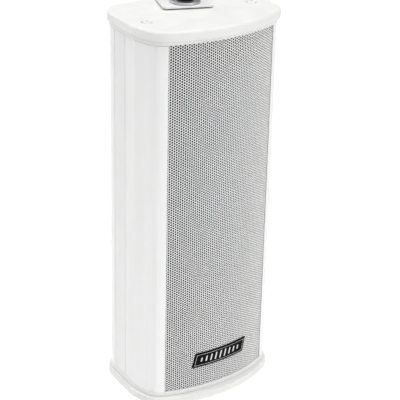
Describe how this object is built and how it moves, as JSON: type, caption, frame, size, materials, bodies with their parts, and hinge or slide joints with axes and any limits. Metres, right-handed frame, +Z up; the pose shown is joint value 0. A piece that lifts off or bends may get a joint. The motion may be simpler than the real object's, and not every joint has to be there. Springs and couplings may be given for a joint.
{
  "type": "column loudspeaker",
  "caption": "White wall-mounted column loudspeaker with a curved perforated grille, rounded end caps and a swivel U bracket.",
  "frame": {"origin": "middle of the bracket's wall face, halfway up the column", "axes": "+Y into the wall, +Z up along the swivel axis; the column's front faces -Y, turned 23 degrees about +Z as stored"},
  "size_m": [0.1699, 0.1768, 0.432],
  "materials": {
    "bracket_paint": "white powder coat, fine texture",
    "body_paint": "white powder coat on aluminium, satin",
    "cap_plastic": "white moulded ABS, satin",
    "gasket_rubber": "black EPDM, matt",
    "grille_paint": "white powder coat on perforated steel",
    "black_cloth": "acoustically open black cloth",
    "badge_black": "black, semi-gloss",
    "badge_silver": "silver foil",
    "board": "medium density fibreboard, stained dark",
    "basket_paint": "black stamped steel",
    "ferrite": "dark sintered ferrite",
    "zinc_steel": "zinc plated steel",
    "spider_cloth": "resin-dipped cotton",
    "paper": "pressed paper, matt",
    "copper_wire": "enamelled copper",
    "black_screw": "black oxide steel",
    "core_iron": "varnished laminations",
    "winding_tape": "yellow polyester tape over copper",
    "terminal_plastic": "ivory polyamide",
    "wadding": "polyester fibre",
    "black_nylon": "black polyamide",
    "screw_paint": "white lacquered steel",
    "brass_insert": "machined brass",
    "wire_red": "red PVC",
    "wire_black": "black PVC"
  },
  "bodies": {
    "bracket": {"wall_bracket": "bracket_paint"},
    "column": {"enclosure_profile": "body_paint", "top_cap": "cap_plastic", "bottom_cap": "cap_plastic", "top_frame": "cap_plastic", "bottom_frame": "cap_plastic", "end_gaskets": "gasket_rubber", "grille": "grille_paint", "grille_cloth": "black_cloth", "badge_plate": "badge_black", "badge_inlay": "badge_silver", "baffle": "board", "basket_1": "basket_paint", "magnet_1": "ferrite", "yoke_1": "zinc_steel", "surround_1": "gasket_rubber", "spider_1": "spider_cloth", "basket_2": "basket_paint", "magnet_2": "ferrite", "yoke_2": "zinc_steel", "surround_2": "gasket_rubber", "spider_2": "spider_cloth", "basket_3": "basket_paint", "magnet_3": "ferrite", "yoke_3": "zinc_steel", "surround_3": "gasket_rubber", "spider_3": "spider_cloth", "driver_screws": "black_screw", "chassis_plate": "zinc_steel", "transformer_core": "core_iron", "transformer_winding": "winding_tape", "transformer_clamp": "zinc_steel", "chassis_screws": "zinc_steel", "terminal_block": "terminal_plastic", "damping_wadding": "wadding", "gland_body": "black_nylon", "gland_nut": "black_nylon", "gland_seal": "gasket_rubber", "gland_locknut": "black_nylon", "cap_screws": "screw_paint", "pivot_inserts": "brass_insert", "pivot_bolts": "black_screw", "pivot_washers": "zinc_steel", "spacer_washers": "black_nylon", "wiring_positive": "wire_red", "wiring_negative": "wire_black"},
    "moving_cone_1": {"cone_1": "paper", "dust_cap_1": "paper", "voice_coil_1": "copper_wire"},
    "moving_cone_2": {"cone_2": "paper", "dust_cap_2": "paper", "voice_coil_2": "copper_wire"},
    "moving_cone_3": {"cone_3": "paper", "dust_cap_3": "paper", "voice_coil_3": "copper_wire"}
  },
  "joints": [
    {"name": "column_swivel", "type": "hinge", "parent": "bracket", "child": "column", "pos_m": [0, -0.092, 0], "axis": [0, 0, 1], "range_deg": [-68, 22]},
    {"name": "cone_stroke_1", "type": "slide", "parent": "column", "child": "moving_cone_1", "axis": [0.3907, -0.9205, 0], "range_m": [-0.002, 0.002], "stiffness_N_per_m": 1500, "deforming": ["surround_1", "spider_1"]},
    {"name": "cone_stroke_2", "type": "slide", "parent": "column", "child": "moving_cone_2", "axis": [0.3907, -0.9205, 0], "range_m": [-0.002, 0.002], "stiffness_N_per_m": 1500, "deforming": ["surround_2", "spider_2"]},
    {"name": "cone_stroke_3", "type": "slide", "parent": "column", "child": "moving_cone_3", "axis": [0.3907, -0.9205, 0], "range_m": [-0.002, 0.002], "stiffness_N_per_m": 1500, "deforming": ["surround_3", "spider_3"]}
  ]
}
